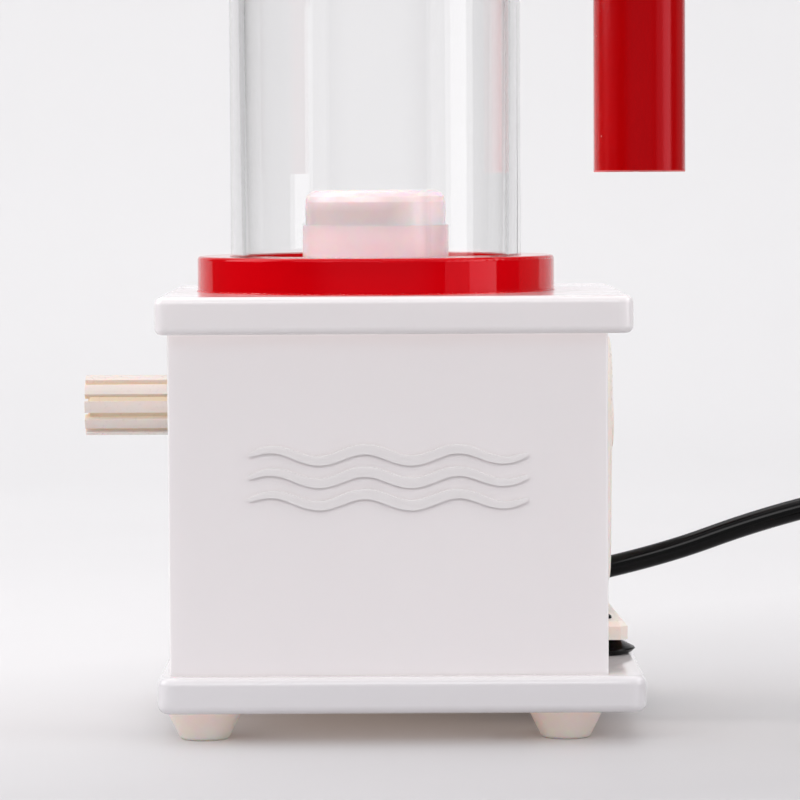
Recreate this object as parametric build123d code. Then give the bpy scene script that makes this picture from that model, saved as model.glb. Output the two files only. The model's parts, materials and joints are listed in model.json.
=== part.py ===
from build123d import *
import math
import os

os.makedirs("parts", exist_ok=True)

# Protein skimmer, in mm. X to the right, Y to the rear, Z up.
# The origin is on the floor, under the axis of the reaction tube.

# stand
BASE_X0, BASE_X1 = -72.4, 89.0
BASE_Z0, BASE_Z1 = 10.3, 22.3
PLATE_Y = 75.0
TOP_X0, TOP_X1 = -72.5, 84.9
TOP_Z0, TOP_Z1 = 135.3, 147.7
BOX_X0, BOX_X1 = -68.5, 76.6
BOX_Y = 68.0
WALL = 6.0
FOOT_X = (-57.6, 62.9)
FOOT_Y = 55.0
FOOT_R0, FOOT_R1 = 8.3, 13.1
FOOT_STEM_R, FOOT_STEM = 4.0, 5.6

# reaction tube
TUBE_R, TUBE_RI = 50.0, 45.0
RING_R = 61.5
RING_Z1 = 159.8
TUBE_Z0, TUBE_Z1 = 153.8, 326.0
COLLAR_R, COLLAR_RI = 25.2, 22.2
COLLAR_Z1 = 170.2
CAP_R = 24.2
CAP_Z1 = 182.2
CAP_SPIGOT_R = 22.15
RISER_R, RISER_RI = 13.0, 7.5
NOZZLE_R = 10.0
NOZZLE_Z1 = 145.0

# collection cup
UP_R = 57.0
UP_Z0, UP_Z1 = 318.0, 330.0
FLOOR_Z1 = 338.0
CUP_R, CUP_RI = 55.0, 51.5
CUP_Z1 = 420.0
NECK_R, NECK_RI = 33.0, 30.0
NECK_Z1 = 398.0
SPIGOT_R, SPIGOT_RI = 44.8, 38.4
SPIGOT_Z0 = 313.0
SEAL_R = 1.5
LID_Z1 = 428.0
DRAIN_Z = 349.0
DRAIN_X = -79.0
BARB_X0 = -110.1
PLUG_R, PLUG_BORE = 7.0, 7.05

# outlet
OUT_X, OUT_Z = 91.1, 290.0
PIPE_R, PIPE_RI = 15.8, 13.0
PIPE_Z0, PIPE_Z1 = 188.0, 272.0
ELBOW_R = 19.0
ELBOW_Z0 = 252.0
NIPPLE_R, SWIVEL_BORE = 15.5, 15.55
GATE_X0, GATE_X1 = 57.5, 71.5
SLOT_X0, SLOT_X1 = 62.4, 65.6
GAP = 0.08

# pump
PY, PZ = 20.0, 107.2
MOTOR_X0, MOTOR_X1 = 15.0, 76.0
MOTOR_Z0, MOTOR_Z1 = 44.0, 133.0
MOTOR_HALF = 33.0
MOTOR_TOP_R, MOTOR_LOW_R = 24.0, 14.0
CAP_X1, CAP_LEAN = 81.4, 0.7
BOSS_X1 = 82.7
BOSS_Z, BOSS_R = 100.6, 8.95
WELL_R, WELL_X1 = 13.4, 58.0
SLEEVE_R, SLEEVE_X1 = 15.4, 63.0
VOL_R, VOL_RI = 26.0, 21.5
VOL_X0 = -15.0
SHAFT_R, SHAFT_BORE = 2.0, 2.05
FOOT_PX0, FOOT_PX1, FOOT_PX2 = 6.0, 85.8, 83.0
FOOT_PY0, FOOT_PY1 = -20.0, 60.0
FOOT_PZ0, FOOT_PZ1 = 28.1, 34.3
CUP_XY = ((75.5, -6.5), (75.5, 46.5), (17.0, -6.5), (17.0, 46.5))
NIP_X0 = -101.9
NIP_R, NIP_CORE, NIP_RI = 10.5, 8.8, 6.5
RIBS, RIB_W, RIB_TURN = 10, 4.0, 0.4

# lead
CORD_D = 7.7
TIE_T = 0.8
CORD_X0, CORD_Y, CORD_Z = 80.4, 20.0, 49.2
GLAND_R = 4.6
ROUTE = [
    (CORD_X0, CORD_Y, CORD_Z),
    (101.0, CORD_Y, 53.9),
    (132.0, CORD_Y, 65.1),
    (163.0, CORD_Y, 73.2),
    (190.0, CORD_Y, 71.6),
    (212.5, CORD_Y, 56.6),
    (235.0, CORD_Y, 34.3),
    (260.0, CORD_Y, TIE_T + 2.5 * CORD_D),
]
COIL_MID = 43.8
COIL_X = 260.0
COIL_Y = CORD_Y - (COIL_MID - CORD_D / 2)
LEAVE = -75.0
TAIL = 50.0


def vcyl(r, z0, z1, x=0.0, y=0.0):
    return Pos(x, y, (z0 + z1) / 2) * Cylinder(r, z1 - z0)


def vtube(ro, ri, z0, z1, x=0.0, y=0.0):
    return vcyl(ro, z0, z1, x, y) - vcyl(ri, z0 - 1, z1 + 1, x, y)


def xcyl(r, x0, x1, y=0.0, z=0.0):
    return Pos((x0 + x1) / 2, y, z) * Rot(0, 90, 0) * Cylinder(r, x1 - x0)


def ycyl(r, y0, y1, x=0.0, z=0.0):
    return Pos(x, (y0 + y1) / 2, z) * Rot(90, 0, 0) * Cylinder(r, y1 - y0)


def block(x0, x1, y0, y1, z0, z1):
    return Pos((x0 + x1) / 2, (y0 + y1) / 2, (z0 + z1) / 2) * Box(x1 - x0, y1 - y0, z1 - z0)


def plate(x0, x1, y0, y1, z0, z1, corner, edge):
    p = block(x0, x1, y0, y1, z0, z1)
    p = fillet(p.edges().filter_by(Axis.Z), corner)
    faces = p.faces().sort_by(Axis.Z)
    return fillet(faces[0].edges() + faces[-1].edges(), edge)


def lathe(points, axis=Axis.Z):
    """Closed profile of (radius, height) points turned about Z."""
    face = make_face(Polyline([(r, 0, z) for r, z in points], close=True))
    return revolve(face, axis=Axis.Z)


def save(name, shape):
    shape.label = name
    export_step(shape, f"parts/{name}.step")


def group(items):
    return Compound(children=[i if isinstance(i, Solid) else i.solid() for i in items])


# ---------------------------------------------------------------- stand
base = plate(BASE_X0, BASE_X1, -PLATE_Y, PLATE_Y, BASE_Z0, BASE_Z1, 6.0, 2.8)
for fx in FOOT_X:
    for fy in (-FOOT_Y, FOOT_Y):
        base -= vcyl(FOOT_STEM_R, BASE_Z0 - 1, BASE_Z0 + FOOT_STEM, fx, fy)
save("base_plate", base)

feet = []
for fx in FOOT_X:
    for fy in (-FOOT_Y, FOOT_Y):
        f = lathe([
            (0, 0), (FOOT_R0 - 1.1, 0), (FOOT_R0 - 0.4, 0.25), (FOOT_R0 + 0.15, 0.9),
            (FOOT_R1, BASE_Z0), (FOOT_STEM_R, BASE_Z0),
            (FOOT_STEM_R, BASE_Z0 + FOOT_STEM), (0, BASE_Z0 + FOOT_STEM),
        ])
        feet.append(Pos(fx, fy, 0) * f)
save("rubber_feet", group(feet))

for name, y0, y1 in (("front_panel", -BOX_Y, -BOX_Y + WALL), ("rear_panel", BOX_Y - WALL, BOX_Y)):
    p = block(BOX_X0, BOX_X1, y0, y1, BASE_Z1, TOP_Z0)
    p = fillet(p.edges().filter_by(Axis.Z), 0.9)
    save(name, p)
side = block(BOX_X0 + 0.5, BOX_X0 + WALL, -BOX_Y + WALL, BOX_Y - WALL, BASE_Z1, TOP_Z0)
side -= xcyl(15.0, BOX_X0 - 5, BOX_X0 + WALL + 5, PY, PZ)
save("left_panel", side)

top = plate(TOP_X0, TOP_X1, -PLATE_Y, PLATE_Y, TOP_Z0, TOP_Z1, 5.0, 2.4)
top -= vcyl(RISER_R, TOP_Z0 - 1, TOP_Z1 + 1)
save("top_plate", top)

# three raised wave lines on the front panel
waves = []
WAVE_X0, WAVE_X1, WAVE_T, WAVE_W, WAVE_A = -42.0, 50.0, 1.0, 3.4, 1.9
for zc in (80.6, 88.0, 95.4):
    n = 24
    up, lo = [], []
    for i in range(n + 1):
        x = WAVE_X0 + (WAVE_X1 - WAVE_X0) * i / n
        k = 2 * math.pi * 3 / (WAVE_X1 - WAVE_X0)
        z = zc + WAVE_A * math.sin(k * (x - WAVE_X0))
        s = WAVE_A * k * math.cos(k * (x - WAVE_X0))
        q = math.hypot(1, s)
        taper = min(1.0, 0.35 + 0.65 * math.sin(math.pi * i / n) ** 0.5)
        h = WAVE_W / 2 * taper
        up.append((x - s / q * h, z + h / q))
        lo.append((x + s / q * h, z - h / q))
    a = Spline([(x, 0, z) for x, z in up])
    b = Spline([(x, 0, z) for x, z in lo])
    face = make_face([a, Line(a @ 1, b @ 1), b, Line(b @ 0, a @ 0)])
    w = extrude(face, amount=WAVE_T, dir=(0, -1, 0))
    waves.append(Pos(0, -BOX_Y, 0) * w)
save("front_waves", group(waves))

# ---------------------------------------------------------------- reaction tube
ring = vtube(RING_R, TUBE_RI, TOP_Z1, RING_Z1) - vcyl(TUBE_R, TUBE_Z0, RING_Z1 + 1)
ring = fillet(ring.edges().filter_by(GeomType.CIRCLE).group_by(Axis.Z)[-1].sort_by(SortBy.LENGTH)[-1:], 1.3)
save("lower_ring", ring)

tube = vtube(TUBE_R, TUBE_RI, TUBE_Z0, TUBE_Z1) - xcyl(PIPE_R, 30, 60, 0, OUT_Z)
save("reaction_tube", tube)

up = vtube(UP_R, TUBE_RI, UP_Z0, UP_Z1) - vcyl(TUBE_R, UP_Z0 - 1, TUBE_Z1)
up = fillet(up.edges().filter_by(GeomType.CIRCLE).group_by(Axis.Z)[0].sort_by(SortBy.LENGTH)[-1:], 1.2)
save("upper_ring", up)

riser = vcyl(RISER_R, 134.0, 150.2) + vcyl(18.0, TOP_Z1, 150.2)
riser -= vcyl(NOZZLE_R, 133.0, NOZZLE_Z1)
riser -= vcyl(RISER_RI, 133.0, 151.0)
save("riser_bushing", riser)

save("diffuser_collar", vtube(COLLAR_R, COLLAR_RI, TOP_Z1, COLLAR_Z1))

cap = lathe([
    (COLLAR_RI - 3.0, 163.0), (CAP_SPIGOT_R, 163.0), (CAP_SPIGOT_R, COLLAR_Z1),
    (CAP_R, COLLAR_Z1), (CAP_R, CAP_Z1 - 4.0), (CAP_R - 0.5, CAP_Z1 - 2.1),
    (CAP_R - 1.8, CAP_Z1 - 0.7), (CAP_R - 3.8, CAP_Z1), (0, CAP_Z1), (0, CAP_Z1 - 3.0),
    (COLLAR_RI - 3.0, CAP_Z1 - 3.0),
])
for count, rad in ((6, 8.0), (12, 15.5)):
    for i in range(count):
        t = 2 * math.pi * i / count
        cap -= vcyl(2.0, CAP_Z1 - 6, CAP_Z1 + 1, rad * math.cos(t), rad * math.sin(t))
save("diffuser_cap", cap)

# ---------------------------------------------------------------- collection cup
floor_ = vtube(UP_R, NECK_RI, UP_Z1, FLOOR_Z1)
floor_ = fillet(floor_.edges().filter_by(GeomType.CIRCLE).group_by(Axis.Z)[-1].sort_by(SortBy.LENGTH)[-1:], 1.0)
save("cup_floor", floor_)
seal_z = 320.0
spigot = vtube(SPIGOT_R, SPIGOT_RI, SPIGOT_Z0, UP_Z1)
spigot -= vtube(SPIGOT_R + 1, 44.95 - 2 * SEAL_R, seal_z - SEAL_R - 0.1, seal_z + SEAL_R + 0.1)
save("cup_spigot", spigot)
save("cup_seal", Pos(0, 0, seal_z) * Torus(44.95 - SEAL_R, SEAL_R))

save("neck_tube", vtube(NECK_R, NECK_RI, FLOOR_Z1, NECK_Z1))
wall = vtube(CUP_R, CUP_RI, FLOOR_Z1, CUP_Z1) - xcyl(6.0, -60, -40, 0, DRAIN_Z)
save("cup_wall", wall)

lid = vcyl(UP_R, CUP_Z1, LID_Z1)
lid = fillet(lid.edges().filter_by(GeomType.CIRCLE), 1.2)
lid += vtube(CUP_RI - 0.1, CUP_RI - 4.0, CUP_Z1 - 6.0, CUP_Z1)
for i in range(3):
    t = math.radians(30 + 120 * i)
    lid -= vcyl(3.0, CUP_Z1 - 2, LID_Z1 + 1, 36 * math.cos(t), 36 * math.sin(t))
lid -= vcyl(3.0, CUP_Z1 + 3, LID_Z1 + 1)
save("cup_lid", lid)
knob = lathe([
    (0, LID_Z1 - 5.0), (3.0, LID_Z1 - 5.0), (3.0, LID_Z1), (8.0, LID_Z1), (7.0, LID_Z1 + 2.5),
    (7.2, LID_Z1 + 5.0), (11.5, LID_Z1 + 9.0), (13.0, LID_Z1 + 12.0), (12.6, LID_Z1 + 15.0),
    (10.5, LID_Z1 + 17.2), (7.0, LID_Z1 + 18.4), (0, LID_Z1 + 18.8),
])
save("lid_knob", knob)

# ---------------------------------------------------------------- cup drain
body = xcyl(6.0, DRAIN_X, -50.0, 0, DRAIN_Z) + xcyl(8.5, -60.0, -56.5, 0, DRAIN_Z)
body += vcyl(10.5, DRAIN_Z - 10, DRAIN_Z + 10, DRAIN_X, 0)
body += xcyl(4.4, -108.0, DRAIN_X, 0, DRAIN_Z)
for bx in (-107.0, -102.5, -98.0):
    b = Pos(bx - 1.55, 0, DRAIN_Z) * Rot(0, 90, 0) * Cone(4.4, 5.3, 3.1)
    body += Pos(0, 0, 0) * b
body += xcyl(7.0, -93.5, DRAIN_X, 0, DRAIN_Z)
body += xcyl(4.0, BARB_X0, -107.0, 0, DRAIN_Z)
body -= xcyl(2.9, BARB_X0 - 1, -45.0, 0, DRAIN_Z)
body -= vcyl(PLUG_BORE, DRAIN_Z - 11, DRAIN_Z + 11, DRAIN_X, 0)
save("drain_body", body)
plug = vcyl(PLUG_R, DRAIN_Z - 13.0, DRAIN_Z + 13.0, DRAIN_X, 0)
plug -= xcyl(2.9, DRAIN_X - 10, DRAIN_X + 10, 0, DRAIN_Z)
save("drain_plug", plug)
keep = vtube(9.2, PLUG_R, DRAIN_Z - 12.6, DRAIN_Z - 10.2, DRAIN_X, 0)
save("drain_retainer", keep)
lever = block(DRAIN_X - 25, DRAIN_X + 6, -4.0, 4.0, DRAIN_Z + 11.0, DRAIN_Z + 17.0)
lever = fillet(lever.edges().filter_by(Axis.Z), 3.2)
lever += vcyl(9.6, DRAIN_Z + 10.2, DRAIN_Z + 17.0, DRAIN_X, 0)
lever -= vcyl(PLUG_R, DRAIN_Z + 9, DRAIN_Z + 13.0, DRAIN_X, 0)
lever = fillet(lever.faces().sort_by(Axis.Z)[-1].edges(), 1.0)
save("drain_lever", lever)

# ---------------------------------------------------------------- outlet
spig = xcyl(PIPE_R, 42.0, SLOT_X0, 0, OUT_Z) - xcyl(PIPE_RI, 30, 70, 0, OUT_Z)
save("outlet_spigot", spig)
gate = block(GATE_X0, GATE_X1, -22.0, 22.0, 268.0, 313.0)
gate = fillet(gate.edges().filter_by(Axis.X), 5.0)
gate = chamfer(gate.faces().sort_by(Axis.X)[-1].edges(), 0.8)
gate += xcyl(NIPPLE_R, GATE_X1 - 2, 82.0, 0, OUT_Z)
gate -= xcyl(PIPE_R, GATE_X0 - 1, SLOT_X0, 0, OUT_Z)
gate -= xcyl(PIPE_RI, GATE_X0 - 1, 90.0, 0, OUT_Z)
gate -= block(SLOT_X0, SLOT_X1, -17.0, 17.0, 273.0, 320.0)
save("gate_body", gate)
blade = block(SLOT_X0 + GAP, SLOT_X1 - GAP, -17.0 + GAP, 17.0 - GAP, 273.4, 318.0)
blade = fillet(blade.edges().filter_by(Axis.X).group_by(Axis.Z)[0], 3.0)
save("gate_blade", blade)
grip = block(59.0, 69.0, -19.0, 19.0, 315.0, 325.0)
grip = fillet(grip.edges().filter_by(Axis.Y), 2.4)
grip = fillet(grip.faces().sort_by(Axis.Y)[0].edges() + grip.faces().sort_by(Axis.Y)[-1].edges(), 1.2)
grip -= block(SLOT_X0 + GAP, SLOT_X1 - GAP, -17.0 + GAP, 17.0 - GAP, 310.0, 318.0)
save("gate_grip", grip)

el = xcyl(ELBOW_R, 72.4, OUT_X, 0, OUT_Z) + vcyl(ELBOW_R, ELBOW_Z0, OUT_Z, OUT_X, 0)
el += Pos(OUT_X, 0, OUT_Z) * Sphere(ELBOW_R)
el -= xcyl(SWIVEL_BORE, 70.0, 82.5, 0, OUT_Z)
el -= xcyl(PIPE_RI, 70.0, OUT_X, 0, OUT_Z)
el -= vcyl(PIPE_RI, ELBOW_Z0 - 1, OUT_Z, OUT_X, 0)
el -= Pos(OUT_X, 0, OUT_Z) * Sphere(PIPE_RI)
el -= vcyl(PIPE_R, ELBOW_Z0 - 1, PIPE_Z1, OUT_X, 0)
save("outlet_elbow", el)
save("drop_pipe", vtube(PIPE_R, PIPE_RI, PIPE_Z0, PIPE_Z1, OUT_X, 0))

# ---------------------------------------------------------------- pump motor
def section(inset, x0, x1, top_r, low_r):
    h = MOTOR_HALF - inset
    b = block(x0, x1, PY - h, PY + h, MOTOR_Z0 + inset, MOTOR_Z1 - inset)
    e = b.edges().filter_by(Axis.X).group_by(Axis.Z)
    b = fillet(e[-1], top_r)
    e = b.edges().filter_by(Axis.X).group_by(Axis.Z)
    return fillet(e[0], low_r)


SCREWS = [(PY + sy * 21.2, PZ + sz * 21.2) for sy in (-1, 1) for sz in (-1, 1)]

motor = section(0, MOTOR_X0, MOTOR_X1, MOTOR_TOP_R, MOTOR_LOW_R)
motor -= section(3.0, MOTOR_X0 + 5, MOTOR_X1 + 1, 21.0, 11.0)
motor += xcyl(SLEEVE_R, MOTOR_X0 + 4, SLEEVE_X1, PY, PZ)
motor -= xcyl(WELL_R, MOTOR_X0 - 1, WELL_X1, PY, PZ)
motor -= xcyl(5.0, WELL_X1 - 1, 61.0, PY, PZ)
for sy, sz in SCREWS:
    motor -= xcyl(1.45, MOTOR_X0 - 1, 20.0, sy, sz)
save("pump_motor_housing", motor)

ecap = section(0, MOTOR_X1, CAP_X1 + 1, MOTOR_TOP_R, MOTOR_LOW_R)
ecap -= Pos(CAP_X1, PY, 125.0) * Rot(0, CAP_LEAN, 0) * Pos(10, 0, 0) * Box(20, 120, 300)
ecap = fillet(ecap.faces().sort_by(Axis.X)[-1].edges(), 4.3)
boss = xcyl(BOSS_R, CAP_X1 - 3, BOSS_X1, PY, BOSS_Z)
boss = fillet(boss.faces().sort_by(Axis.X)[-1].edges(), 0.6)
ecap += boss
ecap += section(3.1, MOTOR_X1 - 4, MOTOR_X1, 21.0, 10.8) - section(5.5, MOTOR_X1 - 5, MOTOR_X1 + 1, 18.5, 8.5)
ecap -= xcyl(GLAND_R, MOTOR_X1 - 6, CAP_X1 + 2, PY, CORD_Z)
save("pump_end_cap", ecap)
gland = xcyl(GLAND_R, MOTOR_X1, CORD_X0, PY, CORD_Z) - xcyl(CORD_D / 2, MOTOR_X1 - 7, CAP_X1 + 1, PY, CORD_Z)
save("cord_gland", gland)

core = block(26, 52, PY - 29, PY + 29, 92, 112) - xcyl(15.5, 20, 60, PY, PZ)
core += block(26, 52, PY - 24, PY - 14, 56, 93) + block(26, 52, PY + 14, PY + 24, 56, 93)
core += block(26, 52, PY - 24, PY + 24, 50, 60)
core -= xcyl(15.5, 20, 60, PY, PZ)
save("stator_core", core)
coils = []
for s in (-1, 1):
    c = block(21.5, 56.5, PY + s * 19 - 9.3, PY + s * 19 + 9.3, 61, 89.5)
    c = fillet(c.edges().filter_by(Axis.Z), 4.0)
    c -= block(26, 52, PY + s * 19 - 5, PY + s * 19 + 5, 60, 91)
    coils.append(c)
save("stator_coils", group(coils))

# ---------------------------------------------------------------- pump rotor
magnet = xcyl(12.9, 18, 56, PY, PZ) - xcyl(SHAFT_BORE, 10, 60, PY, PZ)
save("rotor_magnet", magnet)
wheel = xcyl(19.5, 2, 4.4, PY, PZ) + xcyl(5.0, -8.5, 18, PY, PZ)
for count, rad, ph in ((12, 17.6, 0), (9, 12.6, 10), (5, 8.2, 0)):
    for i in range(count):
        t = math.radians(ph) + 2 * math.pi * i / count
        wheel += xcyl(1.1, -8.0, 2.5, PY + rad * math.cos(t), PZ + rad * math.sin(t))
wheel -= xcyl(SHAFT_BORE, -20, 30, PY, PZ)
save("needle_wheel", wheel)
save("rotor_shaft", xcyl(SHAFT_R, -16, 60.5, PY, PZ))
save("shaft_bushings", group([
    xcyl(3.0, -16, -11.5, PY, PZ) - xcyl(SHAFT_R, -20, 0, PY, PZ),
    xcyl(5.0, 57.2, 61, PY, PZ) - xcyl(SHAFT_R, 50, 65, PY, PZ),
]))

# ---------------------------------------------------------------- pump cover and intake
cover = xcyl(VOL_R, VOL_X0, MOTOR_X0, PY, PZ)
for sy, sz in SCREWS:
    cover += xcyl(4.6, 9, MOTOR_X0, sy, sz)
cover += vcyl(NOZZLE_R, PZ, NOZZLE_Z1)
cover += xcyl(NOZZLE_R, -40, VOL_X0 + 1, PY, PZ)
cover -= xcyl(VOL_RI, VOL_X0 + 4, MOTOR_X0 + 1, PY, PZ)
cover -= vcyl(RISER_RI, PZ, NOZZLE_Z1 + 1)
cover -= xcyl(7.0, -41, VOL_X0 + 5, PY, PZ)
hub = xcyl(4.3, -17, -11, PY, PZ)
for i in range(3):
    arm = Pos(-14, 0, 0) * Box(6, 1.6, 7.0)
    arm = Pos(0, PY, PZ) * Rot(120 * i, 0, 0) * Pos(0, 0, 5.0) * arm
    hub += arm & xcyl(7.5, -17, -11, PY, PZ)
cover += hub
cover -= xcyl(3.0, -16, -10, PY, PZ)
cover -= xcyl(25.0, 13.2, MOTOR_X0 + 1, PY, PZ) - xcyl(22.6, 13.2, MOTOR_X0 + 2, PY, PZ)
for sy, sz in SCREWS:
    cover -= xcyl(1.45, 5, MOTOR_X0 + 1, sy, sz)
    cover -= xcyl(3.0, 4.0, 9.0, sy, sz)
save("pump_cover", cover)
save("pump_seal", Pos(14.1, PY, PZ) * Rot(0, 90, 0) * Torus(23.8, 0.9))
screws = []
for sy, sz in SCREWS:
    s = xcyl(2.8, 6.4, 9.0, sy, sz) + xcyl(1.45, 8.5, 19.8, sy, sz)
    s -= xcyl(1.3, 6.0, 7.8, sy, sz)
    screws.append(s)
save("cover_screws", group(screws))

nip = xcyl(NIP_CORE, NIP_X0 + 1.7, -60, PY, PZ)
for i in range(RIBS):
    t = RIB_TURN + 360.0 / RIBS * i
    rib = Pos(0, PY, PZ) * Rot(t, 0, 0) * block(NIP_X0, -60, 7.4, 12, -RIB_W / 2, RIB_W / 2)
    nip += rib & (xcyl(NIP_R, NIP_X0, -60, PY, PZ) - xcyl(NIP_RI, NIP_X0 - 1, -59, PY, PZ))
nip += xcyl(11.0, -62, -42, PY, PZ) + xcyl(12.6, -44, -20, PY, PZ)
nip -= xcyl(NIP_RI, NIP_X0 - 1, -40, PY, PZ)
nip -= xcyl(NOZZLE_R, -42, -19, PY, PZ)
nip -= ycyl(3.0, PY + 5, PY + 14, -52, PZ)
save("intake_nipple", nip)
barb = ycyl(3.0, PY + 7.2, PY + 28, -52, PZ) + ycyl(5.0, PY + 11.2, PY + 14, -52, PZ)
for by in (PY + 19.0, PY + 23.5):
    barb += Pos(-52, by, PZ) * Rot(-90, 0, 0) * Cone(3.6, 2.9, 3.0)
barb -= ycyl(1.3, PY + 6, PY + 30, -52, PZ)
save("air_barb", barb)

# ---------------------------------------------------------------- pump foot
outline = Polyline([
    (FOOT_PX0, FOOT_PY0, FOOT_PZ0), (FOOT_PX1, FOOT_PY0, FOOT_PZ0),
    (FOOT_PX2, FOOT_PY1, FOOT_PZ0), (FOOT_PX0, FOOT_PY1, FOOT_PZ0),
], close=True)
pf = extrude(make_face(outline), amount=FOOT_PZ1 - FOOT_PZ0, dir=(0, 0, 1))
pf = chamfer(pf.edges().filter_by(Axis.Z), 2.6)
pf = chamfer(pf.faces().sort_by(Axis.Z)[-1].edges(), 1.6)
inner = block(FOOT_PX0 + 3, FOOT_PX2 - 3, FOOT_PY0 + 3, FOOT_PY1 - 3, FOOT_PZ0 - 1, FOOT_PZ1 - 3)
for cx, cy in CUP_XY:
    inner -= vcyl(7.0, FOOT_PZ0 - 2, FOOT_PZ1, cx, cy)
pf -= inner
for cx, cy in CUP_XY:
    pf += vcyl(6.0, FOOT_PZ0, FOOT_PZ1 - 1, cx, cy)
ped = block(18, 70, 0, 40, FOOT_PZ1 - 1, MOTOR_Z0)
ped = fillet(ped.edges().filter_by(Axis.Z), 4.0)
pf += ped
pf -= block(22, 66, 4, 36, FOOT_PZ0 - 1, MOTOR_Z0 - 3)
for cx, cy in CUP_XY:
    pf -= vcyl(3.2, FOOT_PZ0 - 1, FOOT_PZ1 + 1, cx, cy)
save("pump_foot", pf)
cups = []
for cx, cy in CUP_XY:
    c = lathe([
        (0, BASE_Z1 + 2.8), (6.0, BASE_Z1 + 2.2), (9.4, BASE_Z1 + 0.9), (10.8, BASE_Z1), (12.3, BASE_Z1 + 0.6),
        (13.4, BASE_Z1 + 1.7), (13.0, BASE_Z1 + 2.2), (11.6, BASE_Z1 + 2.9), (9.0, BASE_Z1 + 4.2),
        (6.4, FOOT_PZ0), (3.2, FOOT_PZ0), (3.2, FOOT_PZ1), (5.4, FOOT_PZ1), (5.2, FOOT_PZ1 + 0.8),
        (3.0, FOOT_PZ1 + 2.2), (0, FOOT_PZ1 + 2.6),
    ])
    cups.append(Pos(cx, cy, 0) * c)
save("suction_cups", group(cups))

# ---------------------------------------------------------------- lead
def radii(points):
    out = []
    for i in range(1, len(points) - 1):
        a, b, c = (Vector(*p) for p in points[i - 1 : i + 2])
        u, v = b - a, c - b
        turn = math.radians(u.get_angle(v))
        out.append(0.45 * min(u.length, v.length) / math.tan(turn / 2))
    return out


path = FilletPolyline(ROUTE, radius=radii(ROUTE))
lead = sweep(Plane(origin=path @ 0, z_dir=path % 0) * Circle(CORD_D / 2), path=path)
want = math.pi * (CORD_D / 2) ** 2 * path.length
print("lead length", round(path.length, 2), "volume ratio", round(lead.volume / want, 5))
print("smallest radius", round(min(radii(ROUTE)), 1))

OUTER = COIL_MID + CORD_D / 2
t = math.radians(LEAVE)
start = Vector(COIL_X + OUTER * math.cos(t), COIL_Y + OUTER * math.sin(t), TIE_T + 2.5 * CORD_D)
along = Vector(math.sin(t), -math.cos(t), 0)
PLUG_Z = 6.9
finish = start + along * TAIL
finish = Vector(finish.X, finish.Y, PLUG_Z)
tail = Solid.extrude(Face(Wire(Edge.make_circle(CORD_D / 2, Plane(origin=start, z_dir=finish - start)))), finish - start)
coil = vtube(COIL_MID + CORD_D, COIL_MID - CORD_D, TIE_T, TIE_T + 3 * CORD_D, COIL_X, COIL_Y)
coil = fillet(coil.edges().filter_by(GeomType.CIRCLE), 3.2)
save("cord_coil", coil)
print("tail length", round((finish - start).length, 2))

tie_c = Pos(COIL_X, COIL_Y, 0) * Rot(0, 0, 90)
ty = COIL_MID
band = Box(5.0, 2 * CORD_D + 2 * TIE_T, 3 * CORD_D + 2 * TIE_T)
band = fillet(band.edges().filter_by(Axis.X), 3.6)
band = Pos(0, ty, TIE_T + 1.5 * CORD_D) * band
tie = (tie_c * band) - coil
tie = tie.solids().sort_by(SortBy.VOLUME)[-1]
save("cord_tie", tie)

dirn = (Vector(finish.X, finish.Y, 0) - Vector(start.X, start.Y, 0)).normalized()
yaw = math.degrees(math.atan2(dirn.Y, dirn.X))
at = Pos(finish.X, finish.Y, PLUG_Z) * Rot(0, 0, yaw)
relief = Rot(0, 90, 0) * Pos(0, 0, 11) * Cone(CORD_D / 2 + 0.6, 6.0, 22)
shell = Pos(22 + 17.0, 0, 0) * Box(34.0, 26.0, 13.8)
shell = fillet(shell.edges().filter_by(Axis.X), 5.0)
shell = fillet(shell.faces().sort_by(Axis.X)[-1].edges(), 1.0)
shell = shell + relief
for s in (-1, 1):
    shell -= xcyl(2.0, 46.0, 60.0, s * 9.3, 0)
plug_body = at * shell
save("plug_body", plug_body)
pins = []
for s in (-1, 1):
    p = xcyl(2.0, 46.0, 75.0, s * 9.3, 0)
    p = fillet(p.faces().sort_by(Axis.X)[-1].edges(), 0.9)
    pins.append(at * p)
save("plug_pins", group(pins))
tail = tail - plug_body
save("power_cord", group([lead, tail.solid() if hasattr(tail, "solid") else tail]))
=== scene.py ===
import json
import math
import random

import bmesh
import bpy
from mathutils import Matrix, Vector


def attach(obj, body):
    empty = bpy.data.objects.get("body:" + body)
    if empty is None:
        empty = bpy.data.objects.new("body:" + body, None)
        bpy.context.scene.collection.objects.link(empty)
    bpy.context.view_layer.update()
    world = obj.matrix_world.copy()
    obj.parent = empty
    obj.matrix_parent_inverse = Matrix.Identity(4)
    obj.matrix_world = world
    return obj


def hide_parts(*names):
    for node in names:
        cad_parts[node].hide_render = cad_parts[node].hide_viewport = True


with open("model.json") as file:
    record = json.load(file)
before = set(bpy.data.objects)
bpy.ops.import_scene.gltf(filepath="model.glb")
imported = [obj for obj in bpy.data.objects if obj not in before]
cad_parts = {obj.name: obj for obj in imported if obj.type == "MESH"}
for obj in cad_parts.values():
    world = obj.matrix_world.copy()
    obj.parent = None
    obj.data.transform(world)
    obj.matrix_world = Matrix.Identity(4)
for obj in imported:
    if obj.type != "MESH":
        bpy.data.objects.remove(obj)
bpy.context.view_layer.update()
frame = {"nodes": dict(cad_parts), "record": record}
NODES = frame["nodes"]
MM = 0.001
scene = bpy.context.scene
random.seed(7)

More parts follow.
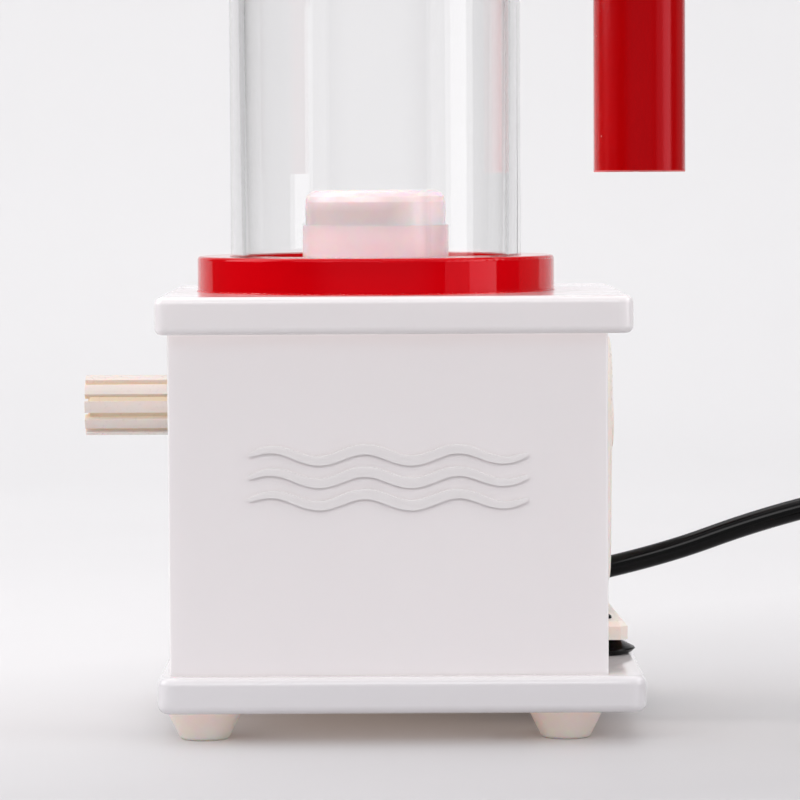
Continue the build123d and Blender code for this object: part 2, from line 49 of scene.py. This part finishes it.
# ------------------------------------------------------------------ camera
cam_data = bpy.data.cameras.new("camera")
cam_data.lens = 180.0
cam_data.sensor_width = 36.0
cam_data.clip_end = 20.0
cam = bpy.data.objects.new("camera", cam_data)
scene.collection.objects.link(cam)
cam.location = (0.0081, -1.382, 0.187)
cam.rotation_euler = (
    Matrix.Rotation(math.radians(90.0 - 3.205), 3, "X") @ Matrix.Rotation(math.radians(-0.3), 3, "Z")
).to_euler()
scene.camera = cam

# ------------------------------------------------------------------ power cord
CORD_D = 7.7
CORD_Y = 20.0
ROUTE = [
    (80.4, CORD_Y, 49.2),
    (101.0, CORD_Y, 53.9),
    (132.0, CORD_Y, 65.1),
    (163.0, CORD_Y, 73.2),
    (190.0, CORD_Y, 71.6),
    (212.5, CORD_Y, 56.6),
    (235.0, CORD_Y, 34.3),
]
COIL_X, COIL_MID = 260.0, 43.8
COIL_Y = CORD_Y - (COIL_MID - CORD_D / 2)
INNER, OUTER = COIL_MID - CORD_D / 2, COIL_MID + CORD_D / 2
LOW, MID, TOP = 0.8 + CORD_D * 0.5, 0.8 + CORD_D * 1.5, 0.8 + CORD_D * 2.5
SLOTS = [(INNER, TOP), (INNER, MID), (INNER, LOW), (OUTER, LOW), (OUTER, MID), (OUTER, TOP)]
TURNS = 5 + 165.0 / 360.0
PER_TURN = 16


def coil_points():
    """The turns of the coil, clockwise from its rear point, each in its own place in the bundle."""
    points = []
    total = int(round(TURNS * PER_TURN))
    for i in range(total + 1):
        turn, part = divmod(i / PER_TURN, 1.0)
        turn = min(int(turn), 5)
        r, z = SLOTS[turn]
        if turn < 5:
            w = max(0.0, (part - 0.80) / 0.20)
            r = r + (SLOTS[turn + 1][0] - r) * w
            z = z + (SLOTS[turn + 1][1] - z) * w
        t = math.radians(90.0) - 2.0 * math.pi * i / PER_TURN
        k = 1.0 / (1.0 - 0.5 * (1.0 - math.cos(math.pi / PER_TURN)))
        points.append((COIL_X + r * k * math.cos(t), COIL_Y + r * k * math.sin(t), z))
    return points


LEAVE = math.radians(-75.0)
LEAVE_AT = Vector((COIL_X + OUTER * math.cos(LEAVE), COIL_Y + OUTER * math.sin(LEAVE), TOP))
ALONG = Vector((math.sin(LEAVE), -math.cos(LEAVE), 0.0))
TAIL_END = LEAVE_AT + ALONG * 56.0
TAIL_END.z = 6.9
TAIL_MID = LEAVE_AT + ALONG * 30.0
TAIL_MID.z = 11.0
points = [Vector(p) for p in ROUTE] + [Vector(p) for p in coil_points()] + [TAIL_MID, TAIL_END]

curve = bpy.data.curves.new("cord", "CURVE")
curve.dimensions = "3D"
curve.resolution_u = 10
curve.bevel_depth = 1.0
curve.bevel_resolution = 7
curve.use_fill_caps = True
spline = curve.splines.new("NURBS")
spline.points.add(len(points) - 1)
for p, q in zip(spline.points, points):
    p.co = (q.x * MM, q.y * MM, q.z * MM, 1.0)
    p.radius = CORD_D / 2 * MM
spline.order_u = 3
spline.use_endpoint_u = True
cord = bpy.data.objects.new("power_cord_lay", curve)
scene.collection.objects.link(cord)
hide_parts("power_cord", "cord_coil")
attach(cord, "stand")


# ------------------------------------------------------------------ materials
class Tree:
    """Small helper over a material's node tree."""

    def __init__(self, name):
        self.mat = bpy.data.materials.new(name)
        self.mat.use_nodes = True
        self.nt = self.mat.node_tree
        self.bsdf = self.nt.nodes["Principled BSDF"]
        self.out = self.nt.nodes["Material Output"]
        self.coord = self.nt.nodes.new("ShaderNodeTexCoord").outputs["Object"]

    def node(self, kind, **values):
        n = self.nt.nodes.new(kind)
        for k, v in values.items():
            if k in n.inputs:
                n.inputs[k].default_value = v
            else:
                setattr(n, k, v)
        return n

    def link(self, a, b):
        self.nt.links.new(a, b)

    def set(self, **values):
        for k, v in values.items():
            self.bsdf.inputs[k.replace("_", " ")].default_value = v

    def stretch(self, sx, sy, sz):
        m = self.node("ShaderNodeMapping")
        m.inputs["Scale"].default_value = (sx, sy, sz)
        self.link(self.coord, m.inputs["Vector"])
        return m.outputs["Vector"]

    def noise(self, scale, detail=3.0, rough=0.55, vector=None):
        n = self.node("ShaderNodeTexNoise")
        n.inputs["Scale"].default_value = scale
        n.inputs["Detail"].default_value = detail
        n.inputs["Roughness"].default_value = rough
        self.link(vector or self.coord, n.inputs["Vector"])
        return n.outputs["Fac"]

    def voronoi(self, scale, vector=None):
        n = self.node("ShaderNodeTexVoronoi")
        n.inputs["Scale"].default_value = scale
        self.link(vector or self.coord, n.inputs["Vector"])
        return n.outputs["Distance"]

    def ramp(self, fac, *stops):
        r = self.node("ShaderNodeValToRGB")
        e = r.color_ramp.elements
        while len(e) < len(stops):
            e.new(0.5)
        for slot, (pos, col) in zip(e, stops):
            slot.position = pos
            slot.color = col if len(col) == 4 else (*col, 1.0)
        self.link(fac, r.inputs["Fac"])
        return r.outputs["Color"]

    def remap(self, fac, a0, a1, b0, b1):
        m = self.node("ShaderNodeMapRange")
        m.inputs["From Min"].default_value = a0
        m.inputs["From Max"].default_value = a1
        m.inputs["To Min"].default_value = b0
        m.inputs["To Max"].default_value = b1
        self.link(fac, m.inputs["Value"])
        return m.outputs["Result"]

    def mix(self, fac, a, b):
        m = self.node("ShaderNodeMix", data_type="RGBA")
        for sock, v in ((m.inputs[0], fac), (m.inputs[6], a), (m.inputs[7], b)):
            if hasattr(v, "is_output"):
                self.link(v, sock)
            else:
                sock.default_value = v if not isinstance(v, tuple) or len(v) == 4 else (*v, 1.0)
        return m.outputs[2]

    def math(self, op, a, b=0.0):
        m = self.node("ShaderNodeMath", operation=op)
        for sock, v in ((m.inputs[0], a), (m.inputs[1], b)):
            if hasattr(v, "is_output"):
                self.link(v, sock)
            else:
                sock.default_value = v
        return m.outputs[0]

    def bump(self, height, strength, distance=0.0002):
        b = self.node("ShaderNodeBump")
        b.inputs["Strength"].default_value = strength
        b.inputs["Distance"].default_value = distance
        self.link(height, b.inputs["Height"])
        self.link(b.outputs["Normal"], self.bsdf.inputs["Normal"])
        return b


def scratches(t, density=900.0, length=30.0):
    """A thin field of fine wipe marks, 0 on clean surface."""
    a = t.noise(density, 2.0, 0.5, t.stretch(1.0, 1.0, 1.0 / length))
    b = t.noise(density, 2.0, 0.5, t.stretch(1.0 / length, 1.0, 1.0))
    m = t.math("MAXIMUM", a, b)
    return t.remap(m, 0.66, 0.80, 0.0, 1.0)


def let_light_through(t, tint):
    """Lamps shine through a clear or milky wall instead of being stopped by it."""
    see = t.node("ShaderNodeBsdfTransparent")
    see.inputs["Color"].default_value = (*tint, 1.0)
    path = t.node("ShaderNodeLightPath")
    mix = t.node("ShaderNodeMixShader")
    t.link(path.outputs["Is Shadow Ray"], mix.inputs[0])
    t.link(t.bsdf.outputs["BSDF"], mix.inputs[1])
    t.link(see.outputs["BSDF"], mix.inputs[2])
    t.link(mix.outputs["Shader"], t.out.inputs["Surface"])


def acrylic_white(name="white_acrylic", base=(0.842, 0.810, 0.823), rough=0.075, through=(0.84, 0.79, 0.745)):
    t = Tree(name)
    tone = t.noise(9.0, 4.0, 0.5)
    fine = t.noise(240.0, 3.0, 0.6)
    col = t.ramp(tone, (0.30, tuple(c * 0.985 for c in base)), (0.70, base))
    speck = t.voronoi(55.0)
    dust = t.remap(speck, 0.012, 0.022, 1.0, 0.0)
    rare = t.remap(t.noise(14.0, 0.0), 0.60, 0.66, 0.0, 0.55)
    col = t.mix(t.math("MULTIPLY", dust, rare), col, (0.30, 0.24, 0.18))
    t.link(col, t.bsdf.inputs["Base Color"])
    s = scratches(t)
    r = t.math("ADD", t.remap(fine, 0.3, 0.7, rough * 0.8, rough * 1.3), t.math("MULTIPLY", s, 0.10))
    t.link(r, t.bsdf.inputs["Roughness"])
    t.set(IOR=1.49, Subsurface_Weight=0.35, Subsurface_Scale=0.004)
    t.bsdf.inputs["Subsurface Radius"].default_value = (1.0, 0.95, 0.95)
    t.bump(t.math("ADD", t.noise(28.0, 2.0), t.math("MULTIPLY", fine, 0.03)), 0.04, 0.0006)
    let_light_through(t, through)
    return t.mat


def acrylic_red(name="red_acrylic", base=(0.60, 0.0001, 0.0032), rough=0.045):
    t = Tree(name)
    tone = t.noise(30.0, 3.0)
    col = t.ramp(tone, (0.3, tuple(c * 0.94 for c in base)), (0.7, base))
    t.link(col, t.bsdf.inputs["Base Color"])
    s = scratches(t, 700.0, 24.0)
    r = t.math("ADD", t.remap(t.noise(160.0), 0.3, 0.7, rough * 0.7, rough * 1.5), t.math("MULTIPLY", s, 0.12))
    t.link(r, t.bsdf.inputs["Roughness"])
    t.set(IOR=1.49, Specular_Tint=(1.0, 0.20, 0.26, 1.0))
    t.bump(t.math("ADD", t.noise(60.0, 2.0), t.math("MULTIPLY", s, -0.04)), 0.05, 0.0005)
    return t.mat


def pvc_red(name="red_pvc", base=(0.44, 0.0001, 0.0010), cut=False):
    t = Tree(name)
    col = t.ramp(t.noise(26.0, 3.0), (0.3, tuple(c * 0.93 for c in base)), (0.7, base))
    dust = t.remap(t.voronoi(120.0), 0.03, 0.05, 1.0, 0.0)
    rare = t.remap(t.noise(60.0, 0.0), 0.58, 0.64, 0.0, 0.5)
    col = t.mix(t.math("MULTIPLY", dust, rare), col, (0.80, 0.45, 0.42))
    sep = t.node("ShaderNodeSeparateXYZ")
    t.link(t.coord, sep.inputs["Vector"])
    sawn = t.remap(sep.outputs["Z"], 0.18845, 0.1886, 1.0, 0.0)
    if cut:
        col = t.mix(t.math("MULTIPLY", sawn, 0.55), col, (0.85, 0.28, 0.27))
    t.link(col, t.bsdf.inputs["Base Color"])
    draw = t.noise(420.0, 2.0, 0.5, t.stretch(1.0, 1.0, 0.02))
    wide = t.noise(150.0, 2.0, 0.5, t.stretch(1.0, 1.0, 0.03))
    s = scratches(t, 600.0, 20.0)
    r = t.math("ADD", t.remap(draw, 0.3, 0.7, 0.14, 0.20), t.math("MULTIPLY", s, 0.12))
    if cut:
        r = t.math("ADD", r, t.math("MULTIPLY", sawn, 0.35))
    t.link(r, t.bsdf.inputs["Roughness"])
    t.set(IOR=1.50, Specular_Tint=(1.0, 0.20, 0.26, 1.0))
    grain = t.math("MULTIPLY", t.noise(900.0, 2.0), t.math("MULTIPLY", sawn, 6.0 if cut else 0.0))
    height = t.math("ADD", t.math("ADD", draw, t.math("MULTIPLY", wide, 3.0)), grain)
    t.bump(height, 0.05, 0.0004)
    return t.mat


def acrylic_clear(name="clear_acrylic", tint=(0.997, 0.998, 0.998)):
    t = Tree(name)
    t.set(IOR=1.42)
    dust = t.remap(t.voronoi(26.0), 0.010, 0.016, 1.0, 0.0)
    rare = t.remap(t.noise(9.0, 0.0), 0.56, 0.60, 0.0, 1.0)
    mark = t.math("MULTIPLY", dust, rare)
    t.link(t.mix(mark, tint, (0.10, 0.08, 0.07)), t.bsdf.inputs["Base Color"])
    t.link(t.remap(mark, 0.0, 1.0, 1.0, 0.2), t.bsdf.inputs["Transmission Weight"])
    s = scratches(t, 500.0, 40.0)
    r = t.math("ADD", t.remap(t.noise(70.0), 0.35, 0.7, 0.0, 0.02), t.math("MULTIPLY", s, 0.04))
    t.link(r, t.bsdf.inputs["Roughness"])
    t.bump(t.noise(30.0, 2.0, 0.5, t.stretch(1.0, 1.0, 0.25)), 0.02, 0.0006)
    let_light_through(t, tint)
    return t.mat


def frosted(name, base, rough, transmission, sub, painted_light=None, through=None):
    t = Tree(name)
    grain = t.noise(900.0, 3.0, 0.6)
    cloud = t.noise(60.0, 3.0, 0.5)
    col = t.ramp(cloud, (0.3, tuple(c * 0.97 for c in base)), (0.7, base))
    # Painted light: the colour turns paler towards the top (Z) and towards one side (X), standing in for where
    # the lamps fall.
    if painted_light:
        z0, z1, x0, x1, pale = painted_light
        sep = t.node("ShaderNodeSeparateXYZ")
        t.link(t.coord, sep.inputs["Vector"])
        up = t.remap(sep.outputs["Z"], z0, z1, 0.0, 0.75)
        side = t.remap(sep.outputs["X"], x0, x1, 0.0, 0.8)
        col = t.mix(t.math("MAXIMUM", up, side), col, pale)
    t.link(col, t.bsdf.inputs["Base Color"])
    t.link(t.remap(grain, 0.3, 0.7, rough * 0.85, rough * 1.15), t.bsdf.inputs["Roughness"])
    t.set(IOR=1.49, Transmission_Weight=transmission, Subsurface_Weight=sub, Subsurface_Scale=0.006)
    t.bump(grain, 0.12, 0.0001)
    if through:
        let_light_through(t, through)
    return t.mat


def moulded(name, base, dark, rough, grain_scale=700.0, bump=0.10, sub=0.0, hollow=None, shine=0.5):
    t = Tree(name)
    cloud = t.noise(45.0, 4.0, 0.55)
    fine = t.noise(grain_scale, 3.0, 0.6)
    col = t.ramp(cloud, (0.30, dark), (0.68, base))
    if hollow:
        col = hollow(t, col)
    t.link(col, t.bsdf.inputs["Base Color"])
    s = scratches(t, 800.0, 18.0)
    r = t.math("ADD", t.remap(fine, 0.3, 0.7, rough * 0.85, rough * 1.2), t.math("MULTIPLY", s, 0.08))
    t.link(r, t.bsdf.inputs["Roughness"])
    t.set(IOR=1.46, Subsurface_Weight=sub, Subsurface_Scale=0.003, Specular_IOR_Level=shine)
    t.bump(fine, bump, 0.00012)
    return t.mat


def groove_tint(t, col):
    """The floor of the intake's grooves is tinted yellower than the rib tops, by distance from the intake's axis.
    """
    sep = t.node("ShaderNodeSeparateXYZ")
    t.link(t.coord, sep.inputs["Vector"])
    dy = t.math("SUBTRACT", sep.outputs["Y"], 0.020)
    dz = t.math("SUBTRACT", sep.outputs["Z"], 0.1072)
    r = t.math("SQRT", t.math("ADD", t.math("MULTIPLY", dy, dy), t.math("MULTIPLY", dz, dz)))
    inside = t.remap(r, 0.0088, 0.0100, 1.0, 0.0)
    return t.mix(t.math("MULTIPLY", inside, 0.9), col, (0.82, 0.68, 0.50))


def metal(name, base, rough, brush=(1.0, 1.0, 0.05)):
    t = Tree(name)
    lines = t.noise(1800.0, 2.0, 0.5, t.stretch(*brush))
    col = t.ramp(lines, (0.3, tuple(c * 0.82 for c in base)), (0.7, base))
    t.link(col, t.bsdf.inputs["Base Color"])
    t.link(t.remap(lines, 0.3, 0.7, rough * 0.8, rough * 1.3), t.bsdf.inputs["Roughness"])
    t.set(Metallic=1.0)
    t.bump(lines, 0.15, 0.00005)
    return t.mat


def winding(name="copper_winding"):
    t = Tree(name)
    w = t.node("ShaderNodeTexWave", wave_type="BANDS", bands_direction="Z")
    w.inputs["Scale"].default_value = 480.0
    w.inputs["Distortion"].default_value = 0.4
    t.link(t.coord, w.inputs["Vector"])
    col = t.ramp(w.outputs["Fac"], (0.1, (0.16, 0.045, 0.015)), (0.75, (0.62, 0.24, 0.09)))
    t.link(col, t.bsdf.inputs["Base Color"])
    t.set(Metallic=0.85, Roughness=0.32, Coat_Weight=0.6, Coat_Roughness=0.12)
    t.bump(w.outputs["Fac"], 0.6, 0.0002)
    return t.mat


def lamination(name="steel_lamination"):
    t = Tree(name)
    w = t.node("ShaderNodeTexWave", wave_type="BANDS", bands_direction="X")
    w.inputs["Scale"].default_value = 330.0
    t.link(t.coord, w.inputs["Vector"])
    col = t.ramp(w.outputs["Fac"], (0.2, (0.10, 0.10, 0.11)), (0.6, (0.36, 0.36, 0.38)))
    t.link(col, t.bsdf.inputs["Base Color"])
    t.set(Metallic=0.9, Roughness=0.42)
    t.bump(w.outputs["Fac"], 0.5, 0.00015)
    return t.mat


MATS = {
    "white_acrylic": acrylic_white(),
    "white_acrylic_top": acrylic_white("white_acrylic_top", through=(0.90, 0.87, 0.85)),
    "white_acrylic_base": acrylic_white("white_acrylic_base", (0.715, 0.700, 0.720), through=(0.84, 0.79, 0.745)),
    "white_acrylic_relief": acrylic_white("white_acrylic_relief", through=(0.15, 0.13, 0.12)),
    "clear_acrylic": acrylic_clear(),
    "cement": acrylic_clear("cement", (0.93, 0.88, 0.88)),
    # Collar: its pink base colour is painted, standing in for the red ring seen through the clear acrylic.
    "frosted_acrylic": frosted("frosted_acrylic", (0.84, 0.695, 0.72), 0.17, 0.30, 0.7, None, (0.85, 0.72, 0.74)),
    # Cap of milky white plastic: its darker pink base colour is painted shade with a painted reflection of the
    # red ring around it, and the paler colour towards its top and right side is painted light.
    "frosted_cap": frosted("frosted_cap", (0.61, 0.53, 0.535), 0.14, 0.05, 0.9, (0.175, 0.182, 0.004, 0.020, (0.90, 0.83, 0.85)), (0.5, 0.4, 0.4)),
    "red_acrylic": acrylic_red(),
    "red_pvc": pvc_red(),
    "red_pvc_cut": pvc_red("red_pvc_cut", cut=True),
    "white_acetal": moulded("white_acetal", (0.84, 0.84, 0.81), (0.78, 0.78, 0.75), 0.34, sub=0.2),
    "milky_silicone": frosted("milky_silicone", (0.85, 0.79, 0.745), 0.36, 0.08, 0.9, None, (0.5, 0.46, 0.42)),
    "cream_plastic": moulded("cream_plastic", (0.88, 0.81, 0.755), (0.86, 0.785, 0.725), 0.30, sub=0.4),
    # Painted shade: the same cream plastic made darker on the intake, to take back the lamps' light falling on
    # it.
    "cream_intake_painted_shade": moulded("cream_intake_painted_shade", (0.71, 0.655, 0.615), (0.69, 0.63, 0.585), 0.30, sub=0.4, hollow=groove_tint),
    "black_rubber": moulded("black_rubber", (0.004, 0.0035, 0.0035), (0.002, 0.002, 0.002), 0.22, 500.0, 0.10, shine=0.12),
    "needle_plastic": moulded("needle_plastic", (0.82, 0.84, 0.86), (0.76, 0.78, 0.80), 0.38, sub=0.2),
    "magnet_black": moulded("magnet_black", (0.05, 0.05, 0.055), (0.03, 0.03, 0.034), 0.30, 900.0, 0.1),
    "shaft_ceramic": moulded("shaft_ceramic", (0.86, 0.85, 0.81), (0.80, 0.79, 0.75), 0.18, 1200.0, 0.03, 0.1),
    "steel_lamination": lamination(),
    "copper_winding": winding(),
    "stainless": metal("stainless", (0.62, 0.62, 0.63), 0.28),
    "cord_rubber": moulded("cord_rubber", (0.0010, 0.0010, 0.0012), (0.0006, 0.0006, 0.0008), 0.15, 650.0, 0.03, shine=0.22),
    "tie_plastic": moulded("tie_plastic", (0.03, 0.03, 0.03), (0.018, 0.018, 0.018), 0.4, 600.0, 0.15),
    "plug_rubber": moulded("plug_rubber", (0.020, 0.020, 0.022), (0.012, 0.012, 0.013), 0.42, 420.0, 0.25),
    "plug_brass": metal("plug_brass", (0.78, 0.68, 0.42), 0.22),
}
OWN = {"top_plate": "white_acrylic_top", "base_plate": "white_acrylic_base", "front_waves": "white_acrylic_relief", "intake_nipple": "cream_intake_painted_shade"}
SLOT = {row["node"]: row["material_slot"] for row in frame["record"]["subparts"]}
for n, o in NODES.items():
    mat = MATS[OWN.get(n, SLOT[n])]
    o.data.materials.clear()
    o.data.materials.append(mat)
    for poly in o.data.polygons:
        poly.material_index = 0
cord.data.materials.append(MATS["cord_rubber"])


# ------------------------------------------------------------------ details
def mesh_object(name, verts, faces):
    me = bpy.data.meshes.new(name)
    me.from_pydata(verts, [], faces)
    me.update()
    ob = bpy.data.objects.new(name, me)
    scene.collection.objects.link(ob)
    return ob


def sawn_pipe():
    """The drop pipe with its rough sawn lower end: small chips and a burr all round."""
    cx, z1, z0 = 0.0911, 0.272, 0.188
    ro, ri = 0.0158, 0.013
    n = 288
    rnd = random.Random(11)
    chips = [(rnd.uniform(0, 2 * math.pi), rnd.uniform(0.03, 0.11), rnd.uniform(0.15, 0.62)) for _ in range(26)]
    front = [(-1.72, 0.16, 0.55), (-1.40, 0.10, 0.42), (-1.08, 0.20, 0.38), (-2.05, 0.12, 0.30)]

    def lift(a):
        h = 0.06 + 0.05 * math.sin(5.0 * a) + 0.03 * math.sin(23.0 * a + 1.0)
        for c, w, d in chips + front:
            u = abs((a - c + math.pi) % (2 * math.pi) - math.pi) / w
            if u < 1.0:
                h = max(h, d * (1.0 - u ** 1.5))
        return h * MM

    rings = []
    for kind in ("in_top", "out_top", "out_mid", "out_low", "face_out", "face_in", "in_low"):
        ring = []
        for i in range(n):
            a = 2 * math.pi * i / n
            h = lift(a)
            r, z = {
                "in_top": (ri, z1),
                "out_top": (ro, z1),
                "out_mid": (ro, z0 + 0.0012),
                "out_low": (ro, z0 + h + 0.00010),
                "face_out": (ro - 0.00018 - 0.35 * h, z0 + 0.35 * h),
                "face_in": (ri + 0.00015, z0 + 0.2 * lift(a + 0.9)),
                "in_low": (ri, z0 + 0.0004),
            }[kind]
            ring.append((cx + r * math.cos(a), r * math.sin(a), z))
        rings.append(ring)
    verts = [v for ring in rings for v in ring]
    faces = []
    for k in range(len(rings)):
        m = (k + 1) % len(rings)
        for i in range(n):
            j = (i + 1) % n
            faces.append((k * n + i, m * n + i, m * n + j, k * n + j))
    ob = mesh_object("drop_pipe_sawn", verts, faces)
    bm = bmesh.new()
    bm.from_mesh(ob.data)
    bmesh.ops.recalc_face_normals(bm, faces=bm.faces)
    for e in bm.edges:
        if len(e.link_faces) == 2 and e.calc_face_angle(0.0) > math.radians(32):
            e.smooth = False
    for f in bm.faces:
        f.smooth = True
    bm.to_mesh(ob.data)
    bm.free()
    ob.data.materials.append(MATS["red_pvc_cut"])
    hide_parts("drop_pipe")
    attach(ob, "swivel")
    return ob


def cement_bead(name, ring_r, z, fat, body):
    """A thin bead of clear acrylic cement squeezed out along a joint."""
    n, m = 220, 8
    rnd = random.Random(len(name))
    wob = [rnd.uniform(-1.0, 1.0) for _ in range(n)]
    verts, faces = [], []
    for i in range(n):
        a = 2 * math.pi * i / n
        w = (wob[i] + wob[i - 1] + wob[i - 2]) / 3.0
        f = fat * (1.0 + 0.35 * w)
        for k in range(m):
            b = 2 * math.pi * k / m
            r = ring_r + f * math.cos(b)
            verts.append((r * math.cos(a), r * math.sin(a), z + f * math.sin(b)))
    for i in range(n):
        j = (i + 1) % n
        for k in range(m):
            q = (k + 1) % m
            faces.append((i * m + k, i * m + q, j * m + q, j * m + k))
    ob = mesh_object(name, verts, faces)
    bm = bmesh.new()
    bm.from_mesh(ob.data)
    bmesh.ops.recalc_face_normals(bm, faces=bm.faces)
    for f in bm.faces:
        f.smooth = True
    bm.to_mesh(ob.data)
    bm.free()
    ob.data.materials.append(MATS["cement"])
    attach(ob, body)
    return ob


sawn_pipe()
cement_bead("cement_under_lower_ring", 0.0615, 0.14785, 0.00032, "stand")
cement_bead("cement_tube_in_lower_ring", 0.0501, 0.15985, 0.00028, "stand")
cement_bead("cement_under_collar", 0.0253, 0.14785, 0.00028, "stand")
cement_bead("cement_tube_in_upper_ring", 0.0501, 0.31795, 0.00028, "stand")

soft = NODES["front_waves"].modifiers.new("soft_edge", "BEVEL")
soft.width = 0.00075
soft.segments = 4
soft.limit_method = "ANGLE"
soft.angle_limit = math.radians(40)


# ------------------------------------------------------------------ stage and light
def floor():
    """A pale sweep: flat floor that curves up into a wall far behind. The floor is painted darker than the wall
    towards the front, and painted shade darkens it further towards the front right.
    """
    profile = [(-0.27, 0.0), (1.2, 0.0)]
    for i in range(1, 17):
        a = math.radians(90.0 * i / 16)
        profile.append((1.2 + 1.1 * math.sin(a), 1.1 - 1.1 * math.cos(a)))
    profile.append((2.3, 4.2))
    verts, faces = [], []
    for y, z in profile:
        verts += [(-2.0, y, z), (2.0, y, z)]
    for i in range(len(profile) - 1):
        faces.append((2 * i, 2 * i + 1, 2 * i + 3, 2 * i + 2))
    ob = mesh_object("sweep", verts, faces)
    for p in ob.data.polygons:
        p.use_smooth = True
    t = Tree("sweep_paper")
    sep = t.node("ShaderNodeSeparateXYZ")
    t.link(t.coord, sep.inputs["Vector"])
    # Painted shade: the floor is darker than the wall and fades into it by Y, standing in for the light falling
    # off towards the front.
    floor_painted_darker = t.ramp(t.noise(3.0, 3.0), (0.3, (0.685, 0.68, 0.69)), (0.7, (0.705, 0.70, 0.71)))
    wall = t.ramp(t.noise(2.0, 3.0), (0.3, (0.77, 0.765, 0.775)), (0.7, (0.785, 0.78, 0.79)))
    paper = t.mix(t.remap(sep.outputs["Y"], 0.6, 1.7, 0.0, 1.0), floor_painted_darker, wall)
    # Painted shade: a darker colour spread towards the front and right of the object, standing in for the lamps'
    # shadow side.
    painted_shade = t.ramp(t.noise(5.0, 3.0), (0.3, (0.49, 0.483, 0.495)), (0.7, (0.51, 0.503, 0.515)))
    painted_shade_mask = t.math("ADD", sep.outputs["Y"], t.math("MULTIPLY", sep.outputs["X"], -0.80))
    t.link(t.mix(t.remap(painted_shade_mask, -0.25, 0.25, 0.0, 1.0), painted_shade, paper), t.bsdf.inputs["Base Color"])
    t.set(Roughness=0.55)
    ob.data.materials.append(t.mat)
    return ob


floor()


def area(name, loc, target, size, power, color=(1.0, 1.0, 1.0), shape="RECTANGLE"):
    d = bpy.data.lights.new(name, "AREA")
    d.shape = shape
    d.size, d.size_y = size
    d.energy = power
    d.color = color
    ob = bpy.data.objects.new(name, d)
    scene.collection.objects.link(ob)
    ob.location = loc
    ob.rotation_euler = (Vector(target) - Vector(loc)).to_track_quat("-Z", "Y").to_euler()
    return ob


WARM = (1.0, 0.985, 0.99)
area("left_side", (-1.45, 0.10, 0.85), (0.0, 0.0, 0.14), (1.1, 1.1), 12.0, WARM)
area("front_top", (-0.35, -1.42, 1.10), (0.0, 0.0, 0.14), (1.2, 0.6), 8.0, WARM)
area("front_left", (-0.95, -1.10, 0.85), (0.0, 0.0, 0.14), (0.8, 0.6), 4.2, WARM)
area("right_high", (1.40, 0.12, 1.20), (0.0, 0.0, 0.14), (0.7, 0.6), 4.0, WARM)
area("top_box", (-0.1, 0.25, 1.9), (0.0, 0.0, 0.1), (1.8, 1.6), 8.0, WARM)
area("right_key", (1.282, -0.425, 0.50), (0.0, 0.0, 0.22), (0.53, 1.3), 5.9, WARM)
area("right_glow", (1.070, -0.823, 0.50), (0.0, 0.0, 0.22), (0.42, 1.3), 1.6, WARM)
area("right_rear", (1.190, 0.634, 0.50), (0.0, 0.0, 0.22), (0.75, 1.3), 0.5, WARM)
area("back_wall", (0.0, 1.25, 2.3), (0.0, 2.05, 0.1), (3.6, 0.8), 21.0)

world = bpy.data.worlds.new("studio")
world.use_nodes = True
wt = world.node_tree
direction = wt.nodes.new("ShaderNodeTexCoord").outputs["Generated"]
split = wt.nodes.new("ShaderNodeSeparateXYZ")
wt.links.new(direction, split.inputs["Vector"])
room = wt.nodes.new("ShaderNodeMapRange")
room.interpolation_type = "SMOOTHSTEP"
room.inputs["From Min"].default_value = 0.30
room.inputs["From Max"].default_value = 0.85
room.inputs["To Min"].default_value = 0.05
room.inputs["To Max"].default_value = 0.65
wt.links.new(split.outputs["Z"], room.inputs["Value"])
front = wt.nodes.new("ShaderNodeMapRange")
front.interpolation_type = "SMOOTHSTEP"
front.inputs["From Min"].default_value = -0.70
front.inputs["From Max"].default_value = -0.96
front.inputs["To Min"].default_value = 0.0
front.inputs["To Max"].default_value = 0.42
wt.links.new(split.outputs["Y"], front.inputs["Value"])
both = wt.nodes.new("ShaderNodeMath")
both.operation = "ADD"
wt.links.new(room.outputs["Result"], both.inputs[0])
wt.links.new(front.outputs["Result"], both.inputs[1])
wt.links.new(both.outputs["Value"], wt.nodes["Background"].inputs["Strength"])
wt.nodes["Background"].inputs["Color"].default_value = (0.985, 0.98, 0.985, 1.0)
scene.world = world
scene.view_settings.view_transform = "Standard"
scene.view_settings.look = "None"
scene.view_settings.exposure = 0.0

# ------------------------------------------------------------------ close
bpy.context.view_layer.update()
